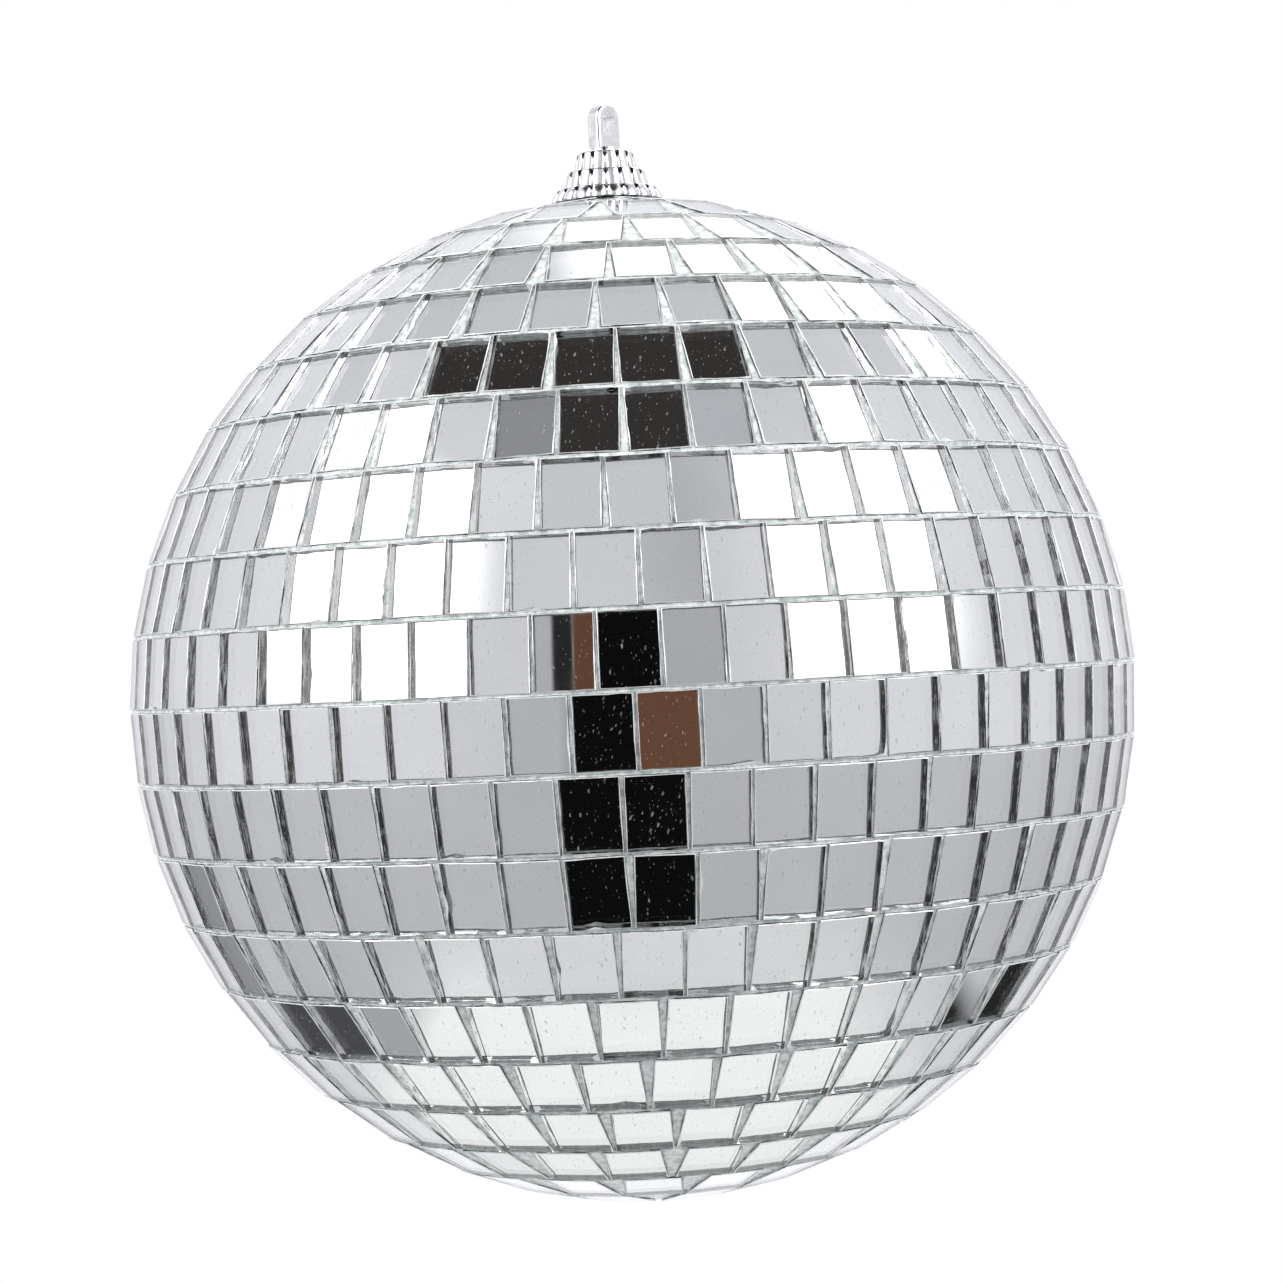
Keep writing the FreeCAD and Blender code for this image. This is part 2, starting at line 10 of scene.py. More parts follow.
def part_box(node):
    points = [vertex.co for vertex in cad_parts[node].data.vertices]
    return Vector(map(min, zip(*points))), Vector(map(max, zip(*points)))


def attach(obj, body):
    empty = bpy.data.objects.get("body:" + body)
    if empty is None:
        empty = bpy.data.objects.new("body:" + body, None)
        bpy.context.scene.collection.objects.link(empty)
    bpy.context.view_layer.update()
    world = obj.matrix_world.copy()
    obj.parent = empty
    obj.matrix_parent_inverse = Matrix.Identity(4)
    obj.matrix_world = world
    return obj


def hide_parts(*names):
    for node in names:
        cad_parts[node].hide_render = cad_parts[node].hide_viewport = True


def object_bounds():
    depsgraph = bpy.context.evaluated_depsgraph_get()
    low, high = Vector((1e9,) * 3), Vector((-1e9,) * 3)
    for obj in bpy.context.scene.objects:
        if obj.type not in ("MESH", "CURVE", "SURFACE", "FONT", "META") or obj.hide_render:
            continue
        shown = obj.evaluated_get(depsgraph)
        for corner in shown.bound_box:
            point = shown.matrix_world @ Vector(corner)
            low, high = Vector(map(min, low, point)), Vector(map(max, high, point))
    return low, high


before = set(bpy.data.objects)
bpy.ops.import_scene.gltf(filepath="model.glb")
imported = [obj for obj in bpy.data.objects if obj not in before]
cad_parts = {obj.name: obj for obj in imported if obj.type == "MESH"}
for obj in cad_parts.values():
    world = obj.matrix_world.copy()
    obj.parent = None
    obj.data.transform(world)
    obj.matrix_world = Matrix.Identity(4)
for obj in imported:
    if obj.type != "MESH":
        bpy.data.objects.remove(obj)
CAD_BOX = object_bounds()

MM = 0.001
ROWS = [f"mirror_row_{number:02d}" for number in range(1, 21)]
BALL_RADIUS = (CAD_BOX[1].x - CAD_BOX[0].x) / 2
BLUISH = 1.045  # the room's greys lean a little to blue

# ---------------------------------------------------------------- node helpers


def join(tree, source, target):
    """Link an output socket to an input socket."""
    tree.links.new(source, target)


def new_material(name):
    """A material with an empty node tree and its output node."""
    material = bpy.data.materials.new(name)
    material.use_nodes = True
    tree = material.node_tree
    tree.nodes.clear()
    return material, tree, tree.nodes.new("ShaderNodeOutputMaterial")


def add(tree, kind, **settings):
    """A node of that kind. Settings are properties, or inputs by name with _ for a space."""
    node = tree.nodes.new(kind)
    for name, value in settings.items():
        if hasattr(node, name):
            setattr(node, name, value)
        else:
            node.inputs[name.replace("_", " ")].default_value = value
    return node


def math_node(tree, operation, first, second=None, clamp=False):
    """A Math node's output. Each operand is a socket or a number."""
    node = tree.nodes.new("ShaderNodeMath")
    node.operation = operation
    node.use_clamp = clamp
    for socket, value in zip(node.inputs, (first, second)):
        if value is None:
            continue
        if isinstance(value, (int, float)):
            socket.default_value = value
        else:
            join(tree, value, socket)
    return node.outputs[0]


def noise(tree, vector, scale, detail=3.0, roughness=0.5):
    """Smooth noise from 0 to 1, with about that many lumps to the unit."""
    node = add(tree, "ShaderNodeTexNoise", Scale=scale, Detail=detail, Roughness=roughness)
    join(tree, vector, node.inputs["Vector"])
    return node.outputs["Fac"]


def ramp(tree, factor, low, high, low_colour, high_colour):
    """Two colours, or two greys, spread between two values of the factor."""
    node = tree.nodes.new("ShaderNodeValToRGB")
    first, last = node.color_ramp.elements
    first.position, last.position = low, high
    first.color = (*low_colour, 1) if isinstance(low_colour, tuple) else (low_colour,) * 3 + (1,)
    last.color = (*high_colour, 1) if isinstance(high_colour, tuple) else (high_colour,) * 3 + (1,)
    join(tree, factor, node.inputs["Fac"])
    return node.outputs["Color"]


def gradient(tree, factor, stops):
    """A run of bluish greys through those (position, value) pairs."""
    node = tree.nodes.new("ShaderNodeValToRGB")
    elements = node.color_ramp.elements
    while len(elements) < len(stops):
        elements.new(0.5)
    for element, (position, value) in zip(elements, stops):
        element.position = position
        element.color = (value, value, value * BLUISH, 1)
    join(tree, factor, node.inputs["Fac"])
    return node.outputs["Color"]


def mix_colour(tree, factor, first, second):
    """Colour mixed by a factor socket; first and second are sockets or colours."""
    node = tree.nodes.new("ShaderNodeMix")
    node.data_type = "RGBA"
    join(tree, factor, node.inputs["Factor"])
    for socket, value in zip((node.inputs[6], node.inputs[7]), (first, second)):
        if isinstance(value, tuple):
            socket.default_value = (*value, 1)
        else:
            join(tree, value, socket)
    return node.outputs[2]


def bump(tree, height, strength, distance):
    """A surface normal from a height, which is distance metres deep at full strength."""
    node = add(tree, "ShaderNodeBump", Strength=strength, Distance=distance)
    join(tree, height, node.inputs["Height"])
    return node.outputs["Normal"]


def object_place(tree):
    """The place on the object, in metres in the shared frame."""
    return tree.nodes.new("ShaderNodeTexCoord").outputs["Object"]


def stretched(tree, vector, scale, turn=(0.0, 0.0, 0.0)):
    """The place, turned and stretched, for marks that are longer one way."""
    node = tree.nodes.new("ShaderNodeMapping")
    node.inputs["Rotation"].default_value = turn
    node.inputs["Scale"].default_value = scale
    join(tree, vector, node.inputs["Vector"])
    return node.outputs["Vector"]


# ---------------------------------------------------------------- materials


SPECK_STRETCH = 0.42  # a mark is this wide for one long
SPECK_SLANT = -38  # degrees that a mark leans
WORN_FROM = 0.6  # how strong the rim's noise must be for the silvering to be gone


def piece_map(tree, name):
    """A piece's own flat coordinates, in millimetres."""
    node = tree.nodes.new("ShaderNodeUVMap")
    node.uv_map = name
    return node.outputs["UV"]


def specks(tree, place, cell, size, share, crowd):
    """Scattered short slanting marks, from 0 to 1. Each sits in a cell of that width, in
    millimetres, and a cell holds one with the chance share, less where crowd is low. size is
    its radius over the cell's width."""
    slant = (0.0, 0.0, math.radians(SPECK_SLANT))
    slanted = stretched(tree, place, (1.0, SPECK_STRETCH, 1.0), slant)
    cells = add(tree, "ShaderNodeTexVoronoi", voronoi_dimensions="2D", Scale=1 / cell)
    cells.inputs["Randomness"].default_value = 1.0
    join(tree, slanted, cells.inputs["Vector"])
    pick = tree.nodes.new("ShaderNodeSeparateColor")
    join(tree, cells.outputs["Color"], pick.inputs["Color"])
    radius = math_node(tree, "MULTIPLY", math_node(tree, "ADD", pick.outputs["Green"], 0.35), size)
    inside = math_node(tree, "SUBTRACT", radius, cells.outputs["Distance"])
    near = math_node(tree, "DIVIDE", inside, size * 0.35, True)
    chance = math_node(tree, "MULTIPLY", crowd, share)
    chosen = math_node(tree, "LESS_THAN", pick.outputs["Red"], chance)
    strength = math_node(tree, "ADD", math_node(tree, "MULTIPLY", pick.outputs["Blue"], 0.75), 0.25)
    return math_node(tree, "MULTIPLY", math_node(tree, "MULTIPLY", near, chosen), strength)


def silver_material():
    """The silvering behind the glass: a clean mirror, seen through dust marks, with a worn rim."""
    material, tree, out = new_material("tile_silvering")
    place = piece_map(tree, "tile")
    shader = add(tree, "ShaderNodeBsdfPrincipled", Metallic=1.0)
    crowd = ramp(tree, noise(tree, place, 0.22, 2.0), 0.35, 0.65, 0.25, 1.0)
    large = specks(tree, place, 1.05, 0.13, 0.55, crowd)
    small = specks(tree, place, 0.5, 0.15, 0.7, crowd)
    marks = math_node(tree, "MAXIMUM", large, math_node(tree, "MULTIPLY", small, 0.8))
    rim = add(tree, "ShaderNodeAttribute", attribute_name="rim").outputs["Fac"]
    nibbled = noise(tree, place, 2.6, 2.0)
    worn = math_node(tree, "GREATER_THAN", math_node(tree, "MULTIPLY", rim, nibbled), WORN_FROM)
    clouds = noise(tree, place, 0.11, 2.0)
    tone = ramp(tree, clouds, 0.3, 0.7, (0.93, 0.93, 0.935), (0.965, 0.965, 0.97))
    tone = mix_colour(tree, marks, tone, (0.95, 0.95, 0.95))
    tone = mix_colour(tree, worn, tone, (0.12, 0.125, 0.12))
    join(tree, tone, shader.inputs["Base Color"])
    spoiled = math_node(tree, "MAXIMUM", math_node(tree, "MULTIPLY", marks, 0.62), worn)
    join(tree, math_node(tree, "SUBTRACT", 1.0, spoiled), shader.inputs["Metallic"])
    haze = noise(tree, place, 0.25, 2.0)
    smooth = ramp(tree, haze, 0.35, 0.75, 0.004, 0.02)
    rough = math_node(tree, "ADD", smooth, math_node(tree, "MULTIPLY", worn, 0.5))
    join(tree, rough, shader.inputs["Roughness"])
    join(tree, shader.outputs[0], out.inputs["Surface"])
    return material


def glass_material(name, roughness, spread, pattern, depth, frosted):
    """Clear float glass, faintly green inside. pattern is how fine its unevenness is along and
    across the piece's own coordinates, and depth is how deep. The roughness runs between two
    values over that spread of the pattern. Frosted glass has white streaks where the pattern is
    highest."""
    material, tree, out = new_material(name)
    place = stretched(tree, piece_map(tree, "tile"), (*pattern, 1.0))
    shader = add(tree, "ShaderNodeBsdfPrincipled", IOR=1.52)
    shader.inputs["Transmission Weight"].default_value = 1.0
    shader.inputs["Base Color"].default_value = (0.995, 0.998, 0.998, 1)
    patches = noise(tree, place, 1.0, 3.0)
    join(tree, ramp(tree, patches, *spread, *roughness), shader.inputs["Roughness"])
    if frosted:
        join(tree, ramp(tree, patches, 0.55, 0.6, 1.0, 0.25), shader.inputs["Transmission Weight"])
    join(tree, bump(tree, patches, 1.0, depth), shader.inputs["Normal"])
    join(tree, shader.outputs[0], out.inputs["Surface"])
    green = add(tree, "ShaderNodeVolumeAbsorption", Density=11.0)
    green.inputs["Color"].default_value = (0.45, 0.80, 0.76, 1)
    join(tree, green.outputs[0], out.inputs["Volume"])
    return material


def arris_material():
    """The ground edge round a tile's face: frosted glass that catches the light."""
    material, tree, out = new_material("tile_arris")
    place = piece_map(tree, "tile")
    shader = add(tree, "ShaderNodeBsdfPrincipled", IOR=1.52)
    shader.inputs["Metallic"].default_value = 0.35
    grit = noise(tree, place, 3.5, 3.0)
    tone = ramp(tree, grit, 0.3, 0.7, (0.86, 0.88, 0.88), (0.98, 0.98, 0.98))
    join(tree, tone, shader.inputs["Base Color"])
    join(tree, ramp(tree, grit, 0.3, 0.7, 0.2, 0.4), shader.inputs["Roughness"])
    join(tree, bump(tree, grit, 0.6, 0.02 * MM), shader.inputs["Normal"])
    join(tree, shader.outputs[0], out.inputs["Surface"])
    return material


def glue_material():
    """Clear glue over white foam: pale, glossy and uneven, with fine ridges."""
    material, tree, out = new_material("clear_glue")
    place = object_place(tree)
    shader = add(tree, "ShaderNodeBsdfPrincipled", IOR=1.5)
    pools = noise(tree, place, 1 / (1.1 * MM), 4.0, 0.6)
    tone = ramp(tree, pools, 0.36, 0.57, (0.50, 0.585, 0.57), (0.93, 0.95, 0.945))
    join(tree, tone, shader.inputs["Base Color"])
    join(tree, ramp(tree, pools, 0.3, 0.8, 0.12, 0.35), shader.inputs["Roughness"])
    ridges = noise(tree, place, 1 / (0.5 * MM), 3.0)
    join(tree, bump(tree, ridges, 0.9, 0.2 * MM), shader.inputs["Normal"])
    join(tree, shader.outputs[0], out.inputs["Surface"])
    return material


def foam_material():
    """White polystyrene foam: packed beads with a line round each."""
    material, tree, out = new_material("white_foam")
    place = object_place(tree)
    shader = add(tree, "ShaderNodeBsdfPrincipled", Roughness=0.7)
    beads = add(tree, "ShaderNodeTexVoronoi", feature="DISTANCE_TO_EDGE", Scale=1 / (3.2 * MM))
    join(tree, place, beads.inputs["Vector"])
    edge = beads.outputs["Distance"]
    tone = ramp(tree, edge, 0.0, 0.12, (0.78, 0.78, 0.77), (0.93, 0.93, 0.92))
    join(tree, tone, shader.inputs["Base Color"])
    rounded = ramp(tree, edge, 0.0, 0.3, 0.0, 1.0)
    join(tree, bump(tree, rounded, 0.7, 0.3 * MM), shader.inputs["Normal"])
    join(tree, shader.outputs[0], out.inputs["Surface"])
    return material


def plated_material(name, roughness, pit_shaded):
    """Bright plated plastic: a mirror coat with soft moulding ripples, and, when asked, painted
    shade that darkens the pits at the cap's seams.
    """
    material, tree, out = new_material(name)
    place = object_place(tree)
    shader = add(tree, "ShaderNodeBsdfPrincipled", Metallic=1.0)
    patches = noise(tree, place, 1 / (1.6 * MM), 3.0)
    tone = ramp(tree, patches, 0.3, 0.7, (0.87, 0.87, 0.89), (0.95, 0.95, 0.96))
    rough = ramp(tree, patches, 0.35, 0.75, *roughness)
    # painted shade: the base colour goes near black in the pits at the cap's seams, standing in for
    # their shadow
    if pit_shaded:
        depth = add(tree, "ShaderNodeAttribute", attribute_name="pit_shade").outputs["Fac"]
        shadow = ramp(tree, depth, 0.25, 0.75, 0.0, 1.0)
        tone = mix_colour(tree, shadow, tone, (0.012, 0.012, 0.014))
    join(tree, tone, shader.inputs["Base Color"])
    join(tree, rough, shader.inputs["Roughness"])
    ripples = noise(tree, place, 1 / (0.7 * MM), 2.0)
    join(tree, bump(tree, ripples, 0.35, 0.05 * MM), shader.inputs["Normal"])
    join(tree, shader.outputs[0], out.inputs["Surface"])
    return material


def plastic_material(name, low, high):
    """Moulded plastic with a fine grain."""
    material, tree, out = new_material(name)
    place = object_place(tree)
    shader = add(tree, "ShaderNodeBsdfPrincipled")
    grain = noise(tree, place, 1 / (0.5 * MM), 4.0)
    join(tree, ramp(tree, grain, 0.3, 0.7, low, high), shader.inputs["Base Color"])
    join(tree, ramp(tree, grain, 0.3, 0.7, 0.35, 0.55), shader.inputs["Roughness"])
    join(tree, bump(tree, grain, 0.4, 0.03 * MM), shader.inputs["Normal"])
    join(tree, shader.outputs[0], out.inputs["Surface"])
    return material


def steel_material():
    """Spring steel strip with rolling lines."""
    material, tree, out = new_material("spring_steel")
    lines = stretched(tree, object_place(tree), (1.0, 12.0, 1.0))
    shader = add(tree, "ShaderNodeBsdfPrincipled", Metallic=1.0)
    grain = noise(tree, lines, 1 / (1.2 * MM), 3.0)
    tone = ramp(tree, grain, 0.3, 0.7, (0.48, 0.48, 0.49), (0.62, 0.62, 0.63))
    join(tree, tone, shader.inputs["Base Color"])
    join(tree, ramp(tree, grain, 0.3, 0.7, 0.22, 0.4), shader.inputs["Roughness"])
    join(tree, shader.outputs[0], out.inputs["Surface"])
    return material


MIRROR = silver_material()
GLASS_FACE = glass_material(
    "tile_glass_face", (0.0, 0.012), (0.35, 0.7), (0.16, 0.16), 0.0005 * MM, False
)
GLASS_EDGE = glass_material(
    "tile_glass_edge", (0.0, 0.3), (0.5, 0.6), (0.4, 2.0), 0.015 * MM, True
)
GLASS_ARRIS = arris_material()
GLUE = glue_material()
FOAM = foam_material()
PLATED = plated_material("plated_plastic", (0.08, 0.18), False)
# plated plastic with painted shade in the pits at the top of the cap's seams
PLATED_PIT_SHADED = plated_material("plated_plastic_pit_shaded", (0.12, 0.26), True)
PLASTIC = plastic_material("natural_plastic", (0.80, 0.80, 0.76), (0.88, 0.88, 0.85))
STEEL = steel_material()

# ---------------------------------------------------------------- mirror tiles

EDGE_STEPS = 5  # stretches along each side of a tile, each broken a little differently
ARRIS = 0.13 * MM  # the dulled edge round a tile's face
WANDER = 0.05 * MM  # how far a snapped side wanders inwards
MAP_SPREAD = 500  # millimetres between the furthest tiles' own coordinates
CHIP = 0.38 * MM  # a chip's reach into the face
CHIP_CHANCE = 0.02
RIM = 0.22 * MM  # width of the silvering that may be worn
MAP_TURN = 25  # degrees that a tile's own coordinates may be turned
TILE_SEED, GLUE_SEED = 100, 7
FACE_SLOT, ARRIS_SLOT, EDGE_SLOT, MIRROR_SLOT = range(4)  # a tile's materials


def corner_groups(node):
    """The eight corners of each box in a CAD node, by walking its faces."""
    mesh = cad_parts[node].data
    welded = {}
    at = [welded.setdefault(tuple(round(c, 7) for c in v.co), len(welded)) for v in mesh.vertices]
    leader = list(range(len(welded)))

    def lead(index):
        """The vertex that stands for all those joined to this one."""
        while leader[index] != index:
            index = leader[index]
        return index

    for face in mesh.polygons:
        first, *others = (at[v] for v in face.vertices)
        for other in others:
            leader[lead(first)] = lead(other)
    groups = {}
    for place, index in welded.items():
        groups.setdefault(lead(index), []).append(Vector(place))
    return list(groups.values())


def tile_axes(corners):
    """A tile's centre and its half sides: across, up and outwards."""
    centre = sum(corners, Vector()) / len(corners)
    start = corners[0]
    sides = sorted((c - start for c in corners[1:]), key=lambda side: side.length)
    thick, across, up = sides[0] / 2, sides[1] / 2, sides[3] / 2
    if thick.dot(centre) < 0:
        thick = -thick
    if up.z < 0:
        up = -up
    if across.cross(up).dot(thick) < 0:
        across = -across
    return centre, across, up, thick


def outline_points(half_width, half_height, inset):
    """Points round a tile, anticlockwise, each moved inwards by its own inset."""
    points = []
    corners = [(-1, -1), (1, -1), (1, 1), (-1, 1)]
    for side in range(4):
        (ax, ay), (bx, by) = corners[side], corners[(side + 1) % 4]
        inward = Vector((-(by - ay) / 2, (bx - ax) / 2))
        for step in range(EDGE_STEPS):
            share = step / EDGE_STEPS
            across, up = ax + (bx - ax) * share, ay + (by - ay) * share
            place = Vector((across * half_width, up * half_height))
            depth = inset[side * EDGE_STEPS + step]
            if step == 0:
                place -= Vector((ax, ay)) * depth
            else:
                place += inward * depth
            points.append(place)
    return points


def add_tile(tile, rng, made):
    """One tile: a flat glass face, a dulled edge round it, snapped sides and the silvered back."""
    centre, across, up, thick = tile
    width, height, depth = across.length, up.length, thick.length
    x_axis, y_axis, z_axis = across / width, up / height, thick / depth
    count = 4 * EDGE_STEPS
    wander = [rng.uniform(0, WANDER) for _ in range(count)]
    skew = [rng.uniform(0, WANDER) for _ in range(count)]
    arris = [ARRIS * rng.uniform(0.5, 1.3) for _ in range(count)]
    drop = [ARRIS * rng.uniform(0.6, 1.2) for _ in range(count)]
    for index in range(count):
        if rng.random() < CHIP_CHANCE:
            arris[index] += CHIP * rng.uniform(0.4, 1.0)
            drop[index] += CHIP * rng.uniform(0.2, 0.6)
    face_inset = [w + a for w, a in zip(wander, arris)]
    rim_inset = [s + RIM for s in skew]
    rings = [
        (outline_points(width, height, face_inset), [depth] * count),
        (outline_points(width, height, wander), [depth - d for d in drop]),
        (outline_points(width, height, skew), [-depth] * count),
        (outline_points(width, height, rim_inset), [-depth] * count),
    ]
    base = len(made["points"])
    for flat, heights in rings:
        for place, level in zip(flat, heights):
            made["points"].append(centre + x_axis * place.x + y_axis * place.y + z_axis * level)
    made["rims"].extend([0.0] * (2 * count) + [1.0] * count + [0.0] * count)

    start = Vector((rng.uniform(0, MAP_SPREAD), rng.uniform(0, MAP_SPREAD)))
    turn = Matrix.Rotation(math.radians(rng.uniform(-MAP_TURN, MAP_TURN)), 2)
    flat_map = [start + turn @ (place / MM) for flat, _ in rings for place in flat]
    stretch = (width + height) / MM / EDGE_STEPS  # along the edge, from one point to the next

    def add_face(corners, kind, places):
        """One face, with its material and the tile's own coordinates at its corners."""
        made["faces"].append([base + c for c in corners])
        made["kinds"].append(kind)
        made["map"].extend(places)

    front = list(range(count))
    add_face(front, FACE_SLOT, [flat_map[c] for c in front])
    for ring, kind in enumerate((ARRIS_SLOT, EDGE_SLOT, MIRROR_SLOT)):
        for i in range(count):
            j = (i + 1) % count
            top, low = ring * count, (ring + 1) * count
            corners = [top + i, low + i, low + j, top + j]
            if kind == MIRROR_SLOT:
                places = [flat_map[c] for c in corners]
            else:
                levels = [ring, ring + 1, ring + 1, ring]
                steps = [i, i, i + 1, i + 1]
                places = [
                    start + Vector((step * stretch, level * 2 * depth / MM))
                    for step, level in zip(steps, levels)
                ]
            add_face(corners, kind, places)
    back = [3 * count + i for i in reversed(range(count))]
    add_face(back, MIRROR_SLOT, [flat_map[c] for c in back])


def longitude(point):
    """Degrees round the ball from its front, growing towards +X."""
    return math.degrees(math.atan2(point.x, -point.y))


def tiles_in_order(node):
    """Each tile's centre and half sides, going round the row from its back."""
    tiles = [tile_axes(corners) for corners in corner_groups(node)]
    return sorted(tiles, key=lambda tile: longitude(tile[0]))


def make_tiles(node, tiles, seed):
    """Every tile of a row as one piece that stands for the row's CAD node."""
    rng = random.Random(seed)
    made = {"points": [], "faces": [], "kinds": [], "rims": [], "map": []}
    for tile in tiles:
        add_tile(tile, rng, made)
    mesh = bpy.data.meshes.new(node + "_glass")
    mesh.from_pydata(made["points"], [], made["faces"])
    for material in (GLASS_FACE, GLASS_ARRIS, GLASS_EDGE, MIRROR):
        mesh.materials.append(material)
    mesh.polygons.foreach_set("material_index", made["kinds"])
    mesh.attributes.new("rim", "FLOAT", "POINT").data.foreach_set("value", made["rims"])
    tile_map = [c for place in made["map"] for c in place]
    mesh.uv_layers.new(name="tile").data.foreach_set("uv", tile_map)
    mesh.update()
    piece = bpy.data.objects.new(node + "_glass", mesh)
    bpy.context.scene.collection.objects.link(piece)
    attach(piece, "ball")
    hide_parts(node)


TILES = {node: tiles_in_order(node) for node in ROWS + ["mirror_bottom_pair"]}
for number, (node, tiles) in enumerate(TILES.items()):
    make_tiles(node, tiles, TILE_SEED + number)

# ---------------------------------------------------------------- glue in the seams

SEAM_STEPS = 8  # stretches along the glue in one seam
RING_STEPS = 400  # stretches along the glue between two rows
SHALLOW, DEEP = 0.14 * MM, 0.6 * MM  # how far below the glass faces the glue stands
GLUE_FOOT = 1.35 * MM  # down to the glue coat
GLUE_OFF_WALL = 0.012 * MM  # the glue has shrunk from the glass by this much
SLOPE_PLACE, SLOPE_SAG = 0.28, 0.65  # on its slope: the share across the seam, and of the sag


def direction(azimuth, elevation):
    """A unit vector: azimuth 0 is the front, growing to the ball's own +X side."""
    a, e = math.radians(azimuth), math.radians(elevation)
    return Vector((math.sin(a) * math.cos(e), -math.cos(a) * math.cos(e), math.sin(e)))


def wandering(rng, count, low, high, stretch, closed=False):
    """Numbers that drift between low and high, with a new aim every few steps."""
    aims = [rng.uniform(low, high) for _ in range(count // stretch + 2)]
    if closed:
        aims[count // stretch] = aims[0]
    values = []
    for step in range(count):
        place, share = divmod(step / stretch, 1.0)
        ease = share * share * (3 - 2 * share)
        values.append(aims[int(place)] * (1 - ease) + aims[int(place) + 1] * ease)
    return values


def glue_section(first, second, depths):
    """Across one seam: the glue climbs each wall and sags between, and its foot is on the coat.
    first and second are the walls, each as the point at its top and its way inwards."""
    (top_first, in_first), (top_second, in_second) = first, second
    climb_first, sag, climb_second = depths
    off_wall = (top_second - top_first).normalized() * GLUE_OFF_WALL
    top_first, top_second = top_first + off_wall, top_second - off_wall
    inward = (in_first + in_second).normalized()
    near_first = top_first.lerp(top_second, SLOPE_PLACE)
    near_second = top_first.lerp(top_second, 1 - SLOPE_PLACE)
    middle = top_first.lerp(top_second, 0.5)
    return [
        top_first + in_first * climb_first,
        near_first + inward * (climb_first * (1 - SLOPE_SAG) + sag * SLOPE_SAG),
        middle + inward * sag,
        near_second + inward * (climb_second * (1 - SLOPE_SAG) + sag * SLOPE_SAG),
        top_second + in_second * climb_second,
        top_second + in_second * GLUE_FOOT,
        top_first + in_first * GLUE_FOOT,
    ]


def add_bead(sections, points, faces, closed):
    """A closed strand of glue through those sections."""
    base, size = len(points), len(sections[0])
    for section in sections:
        points.extend(section)
    count = len(sections)
    for k in range(count if closed else count - 1):
        here, there = base + k * size, base + (k + 1) % count * size
        for i in range(size):
            j = (i + 1) % size
            faces.append([here + i, here + j, there + j, there + i])
    if not closed:
        faces.append([base + i for i in reversed(range(size))])
        faces.append([base + (count - 1) * size + i for i in range(size)])


def glue_depths(rng, count, closed=False):
    """How deep the glue stands along a seam at one wall, at its middle and at the other wall."""
    walls = [wandering(rng, count, SHALLOW, DEEP * 0.6, 3, closed) for _ in range(2)]
    sags = wandering(rng, count, SHALLOW * 2, DEEP, 4, closed)
    return list(zip(walls[0], sags, walls[1]))


def add_seam_glue(tiles, rng, points, faces):
    """The glue between each tile of a row and the next one."""
    for here, there in zip(tiles, tiles[1:] + tiles[:1]):
        sections = []
        for step, depths in enumerate(glue_depths(rng, SEAM_STEPS + 1)):
            height = 2 * step / SEAM_STEPS - 1
            first = here[0] + here[1] + here[2] * height + here[3]
            second = there[0] - there[1] + there[2] * height + there[3]
            walls = (first, -here[3].normalized()), (second, -there[3].normalized())
            sections.append(glue_section(*walls, depths))
        add_bead(sections, points, faces, False)


def row_tilt(tiles):
    """How far above the level the tiles of a row face, in degrees."""
    return math.degrees(sum(math.asin(tile[3].normalized().z) for tile in tiles) / len(tiles))


def edge_line(tiles, side):
    """Longitude, latitude and radius of each corner on a row's upper (1) or lower (-1) edge."""
    line = []
    for centre, across, up, thick in tiles:
        for end in (-1, 1):
            corner = centre + across * end + up * side + thick
            line.append((longitude(corner), math.asin(corner.z / corner.length), corner.length))
    return sorted(line)


def along(line, angle):
    """The point at that longitude on an edge line."""
    before = (line[-1][0] - 360, *line[-1][1:])
    after = (line[0][0] + 360, *line[0][1:])
    for here, there in zip([before] + line, line + [after]):
        if here[0] <= angle <= there[0]:
            share = (angle - here[0]) / max(there[0] - here[0], 1e-9)
            latitude = here[1] + (there[1] - here[1]) * share
            radius = here[2] + (there[2] - here[2]) * share
            break
    turn = math.radians(angle)
    level = math.cos(latitude) * radius
    return Vector((math.sin(turn) * level, -math.cos(turn) * level, math.sin(latitude) * radius))


def add_ring_glue(above, below, rng, points, faces):
    """The glue between one row and the row under it."""
    upper, lower = edge_line(above, -1), edge_line(below, 1)
    tilt_above, tilt_below = row_tilt(above), row_tilt(below)
    sections = []
    for step, depths in enumerate(glue_depths(rng, RING_STEPS, True)):
        angle = 360 * step / RING_STEPS - 180
        first = along(lower, angle), -direction(angle, tilt_below)
        second = along(upper, angle), -direction(angle, tilt_above)
        sections.append(glue_section(first, second, depths))
    add_bead(sections, points, faces, True)


def make_seam_glue():
    """All the glue that stands in the seams, as one piece that turns with the ball."""
    rng = random.Random(GLUE_SEED)
    points, faces = [], []
    for node in ROWS:
        add_seam_glue(TILES[node], rng, points, faces)
    for above, below in zip(ROWS, ROWS[1:]):
        add_ring_glue(TILES[above], TILES[below], rng, points, faces)
    mesh = bpy.data.meshes.new("seam_glue")
    mesh.from_pydata(points, [], faces)
    mesh.materials.append(GLUE)
    mesh.polygons.foreach_set("use_smooth", [True] * len(mesh.polygons))
    mesh.update()
    piece = bpy.data.objects.new("seam_glue", mesh)
    bpy.context.scene.collection.objects.link(piece)
    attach(piece, "ball")


make_seam_glue()

# ---------------------------------------------------------------- crown cap

CAP_LOW, CAP_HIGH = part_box("crown_cap")
PETAL_STEPS = 14  # stretches across one petal
SIDE_STEPS, CROWN_STEPS = 8, 6  # stretches up a petal's side and over its round head
SIDE_SHARE = 0.8  # of a tier's height, the rest is the round head
PIT_SHADE_FROM, PIT_SHADE_FADE = 0.55, 0.2  # where the painted pit shade starts across a petal, and how fast it darkens
PIT_SHADE_FOOT = 0.7  # share of the side below which there is no painted pit shade
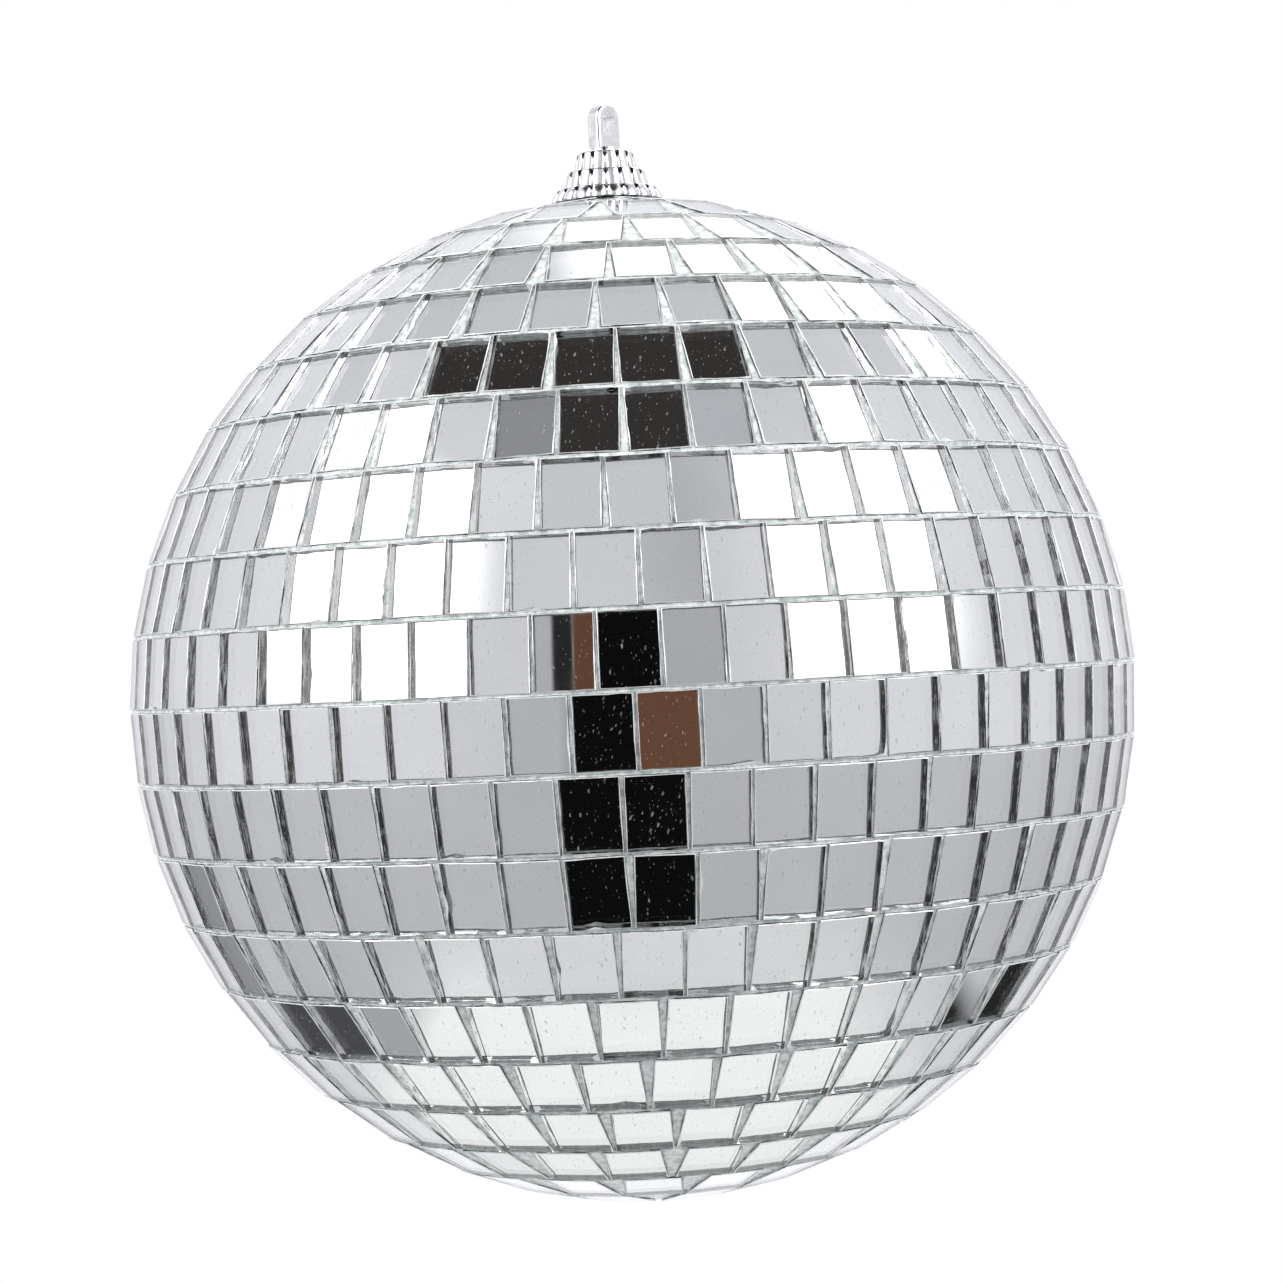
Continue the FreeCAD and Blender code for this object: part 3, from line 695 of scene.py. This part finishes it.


def petal_bulge(share):
    """How far a petal stands out, from 0 in the seam to 1 at its middle, where share is 0.5."""
    off = abs(2 * share - 1)
    return math.sqrt(max(0.0, 1 - off ** 2.6))


def tier_profile(tier, share):
    """Points up the outside of a tier and back down its inside, as radius, height and how dark the
    painted pit shade is.
    """
    bulge = petal_bulge(share)
    # painted pit shade: darkness painted near the seams, standing in for the shadow in the pit
    pit_shade = min(1.0, max(0.0, (abs(2 * share - 1) - PIT_SHADE_FROM) / PIT_SHADE_FADE))
    foot, head, valley = tier["foot"], tier["head"], tier["valley"]
    low, high = tier["low"], tier["high"]
    top = high - tier["dip"] * (1 - bulge) ** 1.3
    outline = []
    for k in range(SIDE_STEPS + 1):
        rise = k / SIDE_STEPS
        body = foot + (head - foot) * rise ** tier["sweep"]
        radius = valley + (body - valley) * bulge
        # the painted pit shade grows towards the top of the side
        depth = pit_shade * max(0.0, (rise - PIT_SHADE_FOOT) / (1 - PIT_SHADE_FOOT))
        outline.append((radius, low + (top - low) * SIDE_SHARE * rise, depth))
    shoulder = valley + (head - valley) * bulge
    crown = low + (top - low) * SIDE_SHARE
    for k in range(1, CROWN_STEPS + 1):
        turn = math.radians(90 * k / CROWN_STEPS)
        outline.append(
            (
                tier["plate"] + (shoulder - tier["plate"]) * math.cos(turn) ** 0.8,
                crown + (top - crown) * math.sin(turn),
                pit_shade,
            )
        )
    outline += [(r, z, 0.0) for r, z in tier["inside"]]
    return outline


def cap_tiers():
    """Sizes of the three tiers from the top down, in metres, from the cap's box."""
    wide, tall = CAP_HIGH.x, CAP_HIGH.z - CAP_LOW.z
    steps = [CAP_LOW.z, CAP_LOW.z + tall * 0.235, CAP_LOW.z + tall * 0.60, CAP_HIGH.z]
    plate_low = CAP_HIGH.z - 1.2 * MM
    return [
        {
            "petals": 20, "low": steps[0], "high": steps[1] + 0.25 * MM,
            "foot": wide, "head": wide * 0.90, "valley": wide * 0.86, "plate": wide * 0.74,
            "dip": 0.55 * MM, "sweep": 1.5,
            "inside": [(6.3 * MM, steps[1]), (6.3 * MM, steps[0])],
        },
        {
            "petals": 17, "low": steps[1] - 0.1 * MM, "high": steps[2] + 0.2 * MM,
            "foot": wide * 0.765, "head": wide * 0.695, "valley": wide * 0.66,
            "plate": wide * 0.545, "dip": 0.6 * MM, "sweep": 1.2,
            "inside": [(4.65 * MM, steps[2]), (4.65 * MM, steps[1] - 0.1 * MM)],
        },
        {
            "petals": 14, "low": steps[2] - 0.1 * MM, "high": steps[3],
            "foot": wide * 0.565, "head": wide * 0.505, "valley": wide * 0.47,
            "plate": wide * 0.36, "dip": 0.6 * MM, "sweep": 1.1,
            "inside": [
                (1.62 * MM, steps[3] - 0.02 * MM), (1.62 * MM, plate_low),
                (3.1 * MM, plate_low), (3.1 * MM, steps[2] - 0.1 * MM),
            ],
        },
    ]


def make_crown_cap():
    """The stepped cap: three rings of round-headed petals, with a dip at the top of each seam
    darkened by painted shade.
    """
    points, faces, pit_shades = [], [], []
    for tier in cap_tiers():
        count = tier["petals"] * PETAL_STEPS
        base = len(points)
        for step in range(count):
            outline = tier_profile(tier, (step % PETAL_STEPS) / PETAL_STEPS)
            turn = 2 * math.pi * step / count
            for radius, height, pit_shade in outline:
                points.append((math.sin(turn) * radius, -math.cos(turn) * radius, height))
                pit_shades.append(pit_shade)
        size = len(outline)
        for step in range(count):
            here, there = base + step * size, base + (step + 1) % count * size
            for i in range(size):
                j = (i + 1) % size
                faces.append([here + i, there + i, there + j, here + j])
    mesh = bpy.data.meshes.new("crown_cap_petals")
    mesh.from_pydata(points, [], faces)
    mesh.materials.append(PLATED_PIT_SHADED)
    mesh.polygons.foreach_set("use_smooth", [True] * len(mesh.polygons))
    # the painted pit shade, read by the cap's material
    mesh.attributes.new("pit_shade", "FLOAT", "POINT").data.foreach_set("value", pit_shades)
    mesh.update()
    piece = bpy.data.objects.new("crown_cap_petals", mesh)
    bpy.context.scene.collection.objects.link(piece)
    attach(piece, "ball")
    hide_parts("crown_cap")


make_crown_cap()

# ---------------------------------------------------------------- carried-over CAD nodes

CARRIED = {
    "foam_core": FOAM,
    "adhesive_coat": GLUE,
    "cap_glue": GLUE,
    "anchor_plug": PLASTIC,
    "bearing_washer": PLASTIC,
    "retaining_clip": STEEL,
    "hanging_eye": PLATED,
}
for node, material in CARRIED.items():
    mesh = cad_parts[node].data
    mesh.materials.clear()
    mesh.materials.append(material)

# ---------------------------------------------------------------- studio

ROOM = 2.5  # distance from the ball to the cards, in metres
CARD_STEPS = 12  # stretches along each side of a curved card
FLOOR_DROP = 0.25  # from the ball's centre down to the floor
FLOOR_HALF = 6.0  # half the floor's width
NO_LIMIT = 99.0  # a distance beyond anything in the studio
FLOOR_SPOTS = (  # dark and grey patches on the floor, each as its x range, y range and tone
    ((-0.315, -0.20), (0.06, 0.245), (0.07, 0.07, 0.075)),
    ((-0.26, -0.16), (-0.05, 0.065), (0.38, 0.38, 0.40)),
    ((-0.68, -0.34), (0.32, 0.60), (0.30, 0.30, 0.32)),
    ((0.255, 0.35), (0.19, 0.37), (0.02, 0.02, 0.02)),
    ((0.19, 0.262), (0.09, 0.15), (0.02, 0.02, 0.02)),
)
SPOT_FADE = 0.014  # how soft their edges are
OVERHEAD_FROM, OVERHEAD_FADE = 0.55, 0.25  # how high the room starts to darken, and how fast
STAND = 1.0  # distance from the ball to the camera's stand
CAMERA = 7.22 * BALL_RADIUS  # distance from the ball to the camera
CAMERA_RISE, CAMERA_LEAN = 0.70, 2.98  # degrees above the ball's middle, and sideways
AIM_RIGHT, AIM_UP = 0.0022, 0.0157  # the ball stands low and a hair left in the frame
LENS, SENSOR = 101.0, 36.0  # millimetres


def stage_piece(name, points, faces, material, corner_uv=None):
    """A piece of the studio, which is not part of the object."""
    mesh = bpy.data.meshes.new(name)
    mesh.from_pydata(points, [], faces)
    if corner_uv:
        across = [c for uv in corner_uv for c in uv]
        mesh.uv_layers.new(name="across").data.foreach_set("uv", across)
    mesh.materials.append(material)
    piece = bpy.data.objects.new(name, mesh)
    bpy.context.scene.collection.objects.link(piece)
    return piece


def card_material(name, tone, soft, cover):
    """A glowing card that fades out at its edges, over the shares soft of its width and height."""
    material, tree, out = new_material(name)
    uv = tree.nodes.new("ShaderNodeUVMap")
    split = tree.nodes.new("ShaderNodeSeparateXYZ")
    join(tree, uv.outputs[0], split.inputs[0])
    masks = []
    for axis, spread in zip(("X", "Y"), soft):
        from_middle = math_node(tree, "SUBTRACT", split.outputs[axis], 0.5)
        inside = math_node(tree, "SUBTRACT", 0.5, math_node(tree, "ABSOLUTE", from_middle))
        fade = tree.nodes.new("ShaderNodeMapRange")
        fade.interpolation_type = "SMOOTHSTEP"
        join(tree, inside, fade.inputs["Value"])
        fade.inputs["From Max"].default_value = max(spread, 0.001)
        masks.append(fade.outputs[0])
    mask = math_node(tree, "MULTIPLY", math_node(tree, "MULTIPLY", *masks), cover)
    glow = tree.nodes.new("ShaderNodeEmission")
    glow.inputs["Color"].default_value = (*tone, 1)
    clear = tree.nodes.new("ShaderNodeBsdfTransparent")
    blend = tree.nodes.new("ShaderNodeMixShader")
    join(tree, mask, blend.inputs[0])
    join(tree, clear.outputs[0], blend.inputs[1])
    join(tree, glow.outputs[0], blend.inputs[2])
    join(tree, blend.outputs[0], out.inputs["Surface"])
    return material


def add_card(name, azimuths, elevations, tone, soft=(0.15, 0.15), cover=1.0, reach=ROOM):
    """A curved card across those angles as the ball's centre sees them."""
    steps = CARD_STEPS
    points, faces, uvs = [], [], []
    for row in range(steps + 1):
        for column in range(steps + 1):
            azimuth = azimuths[0] + (azimuths[1] - azimuths[0]) * column / steps
            elevation = elevations[0] + (elevations[1] - elevations[0]) * row / steps
            points.append(direction(azimuth, elevation) * reach)
    for row in range(steps):
        for column in range(steps):
            low = row * (steps + 1) + column
            corners = [low, low + 1, low + steps + 2, low + steps + 1]
            faces.append(corners)
            uvs.extend(((c % (steps + 1)) / steps, (c // (steps + 1)) / steps) for c in corners)
    card = stage_piece(name, points, faces, card_material(name, tone, soft, cover), uvs)
    card.visible_camera = False


def grey(value, tint=1.0):
    """A grey with its blue multiplied by tint."""
    return (value, value, value * tint)


def add_cards():
    """What the tiles mirror: two softboxes with the light they spill, a lamp behind, the shaded
    room in front, and the camera on its stand with an arm and a wooden handle. Each card has its
    azimuths, elevations, tone, soft edges, cover and distance."""
    far, close = ROOM * 1.05, ROOM * 0.95
    add_card("spill_left", (-122, -26), (-14, 63), grey(0.74, 1.04), (0.1, 0.16), 1.0, far)
    add_card("spill_right", (20, 122), (-14, 61), grey(0.74, 1.04), (0.1, 0.16), 1.0, far)
    add_card("softbox_left", (-89.5, -34.5), (6.5, 56), grey(3.4), (0.05, 0.05))
    add_card("softbox_right", (30.5, 83), (6.5, 56), grey(3.4), (0.05, 0.05))
    add_card("softbox_left_top", (-105, -86), (27, 56), grey(1.15), (0.3, 0.1), 1.0, ROOM * 1.02)
    add_card("softbox_right_top", (79, 98), (27, 56), grey(1.15), (0.3, 0.1), 1.0, ROOM * 1.02)
    add_card("backlight", (128, 191), (32, 72.5), grey(1.8), (0.07, 0.07))
    edge = (58, 65.5)
    add_card("ceiling_edge_left", (-49, -32), edge, grey(0.27, 1.06), (0.03, 0.05), 1.0, close)
    add_card("ceiling_edge_right", (32.5, 49), edge, grey(0.47, 1.06), (0.03, 0.05), 1.0, close)
    add_card("front_shade", (-28, 32), (-6, 22), grey(0.40, 1.05), (0.25, 0.1), 0.95, close)
    add_card("front_shade_high", (5.5, 27), (18, 52), grey(0.40, 1.05), (0.3, 0.2), 0.9, close)
    black = grey(0.004)
    add_card("camera_back", (-5.6, 5.6), (-4.5, 5.5), black, (0.05, 0.05), 1.0, CAMERA * 1.04)
    add_card("camera_stand", (-19, 11), (-14, 1), black, (0.06, 0.01), 1.0, STAND)
    add_card("camera_body", (-12.4, 7), (-1, 19), black, (0.05, 0.04), 1.0, STAND)
    brown, wood = (0.12, 0.055, 0.033), (0.13, 0.062, 0.038)
    add_card("stand_arm_dark", (-15.2, -14.6), (8.5, 13.5), grey(0.02), (0.2, 0.04), 1.0, STAND)
    add_card("stand_arm_brown", (-14.66, -12.2), (8.5, 13.5), brown, (0.01, 0.04), 1.0, STAND)
    add_card("wooden_handle", (5.8, 8.6), (-7.6, -3.6), wood, (0.04, 0.06), 1.0, STAND * 0.9)


def add_dark_ceiling():
    """The unlit part of the ceiling between the lamps, over the front half of the ball."""
    height = ROOM
    outline = [(-0.57, 0.13), (-0.30, -0.63), (0.31, -0.63), (0.47, 0.10)]
    points = [Vector((x, y, 1)) * height for x, y in outline]
    material = card_material("dark_ceiling", (0.035, 0.032, 0.030), (0.03, 0.05), 1.0)
    corner_uv = [(0, 1), (0, 0), (1, 0), (1, 1)]
    card = stage_piece("dark_ceiling", points, [[0, 1, 2, 3]], material, corner_uv)
    card.visible_camera = False


def band(tree, value, low, high, fade):
    """1 where the value lies between low and high, fading out over that width at each end."""
    rise = math_node(tree, "DIVIDE", math_node(tree, "SUBTRACT", value, low), fade, True)
    fall = math_node(tree, "DIVIDE", math_node(tree, "SUBTRACT", high, value), fade, True)
    return math_node(tree, "MULTIPLY", rise, fall)


def heading(tree, x, y):
    """How far round from the front a direction lies, from 0 at the front to 1 behind."""
    angle = math_node(tree, "ARCTAN2", x, math_node(tree, "MULTIPLY", y, -1.0))
    return math_node(tree, "DIVIDE", math_node(tree, "ABSOLUTE", angle), math.pi)


def floor_material():
    """Pale floor that glows with painted light and shade instead of being lit, white to the camera.
    In what the tiles mirror it is white paper under the ball on the grey floor of the room, with
    painted light growing towards the back, painted shade ahead of the ball, the stand's dark foot
    in front and a few dark patches on it behind."""
    material, tree, out = new_material("pale_floor")
    split = tree.nodes.new("ShaderNodeSeparateXYZ")
    join(tree, object_place(tree), split.inputs[0])
    x, y = split.outputs["X"], split.outputs["Y"]
    front = math_node(tree, "MULTIPLY", y, -1.0)
    azimuth = math_node(tree, "MULTIPLY", math_node(tree, "ARCTAN2", x, front), 180 / math.pi)
    x_square, y_square = math_node(tree, "MULTIPLY", x, x), math_node(tree, "MULTIPLY", y, y)
    distance = math_node(tree, "SQRT", math_node(tree, "ADD", x_square, y_square))
    grain = noise(tree, object_place(tree), 6.0, 2.0)
    # painted light and shade: near and far, the floor's glow grows from the front of the room to
    # the back
    close = gradient(
        tree, heading(tree, x, y),
        [(0.0, 0.5), (0.62, 0.52), (0.75, 0.66), (0.85, 0.86), (0.95, 1.2)],
    )
    tone = mix_colour(tree, ramp(tree, grain, 0.3, 0.7, 0.0, 0.08), close, (0.45, 0.45, 0.46))
    far = gradient(
        tree, heading(tree, x, y),
        [(0.0, 0.4), (0.24, 0.7), (0.58, 0.74), (0.65, 0.62), (0.72, 0.66), (0.8, 0.74),
         (0.87, 0.85), (0.95, 1.2)],
    )
    tone = mix_colour(tree, band(tree, distance, 0.6, NO_LIMIT, 1.4), tone, far)
    near = band(tree, distance, -1.0, 0.27, 0.06)
    tone = mix_colour(tree, near, tone, (0.70, 0.70, 0.71))
    # painted shade on the floor ahead of the ball
    ahead, apart = band(tree, azimuth, -38, 36, 14.0), band(tree, distance, 0.23, NO_LIMIT, 0.04)
    shade = math_node(tree, "MULTIPLY", ahead, apart)
    tone = mix_colour(tree, shade, tone, (0.46, 0.46, 0.48))
    paper_x, paper_y = band(tree, x, -0.20, 0.18, 0.03), band(tree, y, -0.15, 0.25, 0.05)
    paper = math_node(tree, "MULTIPLY", paper_x, paper_y)
    tone = mix_colour(tree, paper, tone, (0.93, 0.93, 0.93))
    ahead, apart = band(tree, azimuth, -19.5, 11.5, 1.2), band(tree, front, 0.20, NO_LIMIT, 0.01)
    foot = math_node(tree, "MULTIPLY", ahead, apart)
    tone = mix_colour(tree, foot, tone, (0.004, 0.004, 0.004))
    for xs, ys, mark in FLOOR_SPOTS:
        spot_x, spot_y = band(tree, x, *xs, SPOT_FADE), band(tree, y, *ys, SPOT_FADE)
        tone = mix_colour(tree, math_node(tree, "MULTIPLY", spot_x, spot_y), tone, mark)
    seen = tree.nodes.new("ShaderNodeLightPath").outputs["Is Camera Ray"]
    tone = mix_colour(tree, seen, tone, (1.0, 1.0, 1.0))
    # the floor glows with these painted tones instead of being lit by the lamps
    glow = tree.nodes.new("ShaderNodeEmission")
    join(tree, tone, glow.inputs["Color"])
    join(tree, glow.outputs[0], out.inputs["Surface"])
    return material


def add_floor():
    """The flat floor under the ball."""
    half = FLOOR_HALF
    corners = [(-half, -half), (half, -half), (half, half), (-half, half)]
    points = [Vector((x, y, -FLOOR_DROP)) for x, y in corners]
    stage_piece("floor", points, [[0, 1, 2, 3]], floor_material())


def add_world():
    """A pale grey room, brighter behind the ball, darker overhead, and white to the camera."""
    world = bpy.data.worlds.new("studio")
    bpy.context.scene.world = world
    world.use_nodes = True
    tree = world.node_tree
    tree.nodes.clear()
    out = tree.nodes.new("ShaderNodeOutputWorld")
    split = tree.nodes.new("ShaderNodeSeparateXYZ")
    join(tree, tree.nodes.new("ShaderNodeTexCoord").outputs["Generated"], split.inputs[0])
    room = gradient(
        tree, heading(tree, split.outputs["X"], split.outputs["Y"]),
        [(0.0, 0.62), (0.55, 0.66), (0.7, 0.765), (0.8, 0.83), (0.87, 0.90), (0.95, 0.95)],
    )
    above = math_node(tree, "SUBTRACT", split.outputs["Z"], OVERHEAD_FROM)
    high = math_node(tree, "DIVIDE", above, OVERHEAD_FADE, True)
    room = mix_colour(tree, high, room, (0.58, 0.58, 0.61))
    seen = tree.nodes.new("ShaderNodeLightPath").outputs["Is Camera Ray"]
    background = tree.nodes.new("ShaderNodeBackground")
    join(tree, mix_colour(tree, seen, room, (1.0, 1.0, 1.0)), background.inputs["Color"])
    join(tree, background.outputs[0], out.inputs["Surface"])


def add_camera():
    """The camera in front of the ball, a little above its middle, leaning to one side."""
    rise, lean = math.radians(CAMERA_RISE), math.radians(CAMERA_LEAN)
    place = Vector((0, -math.cos(rise), math.sin(rise))) * CAMERA
    ahead = -place.normalized()
    right = ahead.cross(Vector((0, 0, 1))).normalized()
    up = right.cross(ahead)
    cosine, sine = math.cos(lean), math.sin(lean)
    right, up = right * cosine - up * sine, right * sine + up * cosine
    ahead = (ahead + right * AIM_RIGHT + up * AIM_UP).normalized()
    right = ahead.cross(up).normalized()
    up = right.cross(ahead)
    camera = bpy.data.objects.new("camera", bpy.data.cameras.new("camera"))
    camera.data.lens = LENS
    camera.data.sensor_width = SENSOR
    turn = Matrix((right, up, -ahead)).transposed().to_4x4()
    camera.matrix_world = Matrix.Translation(place) @ turn
    bpy.context.scene.collection.objects.link(camera)
    bpy.context.scene.camera = camera


add_world()
add_floor()
add_cards()
add_dark_ceiling()
add_camera()
bpy.context.scene.view_settings.view_transform = "Standard"
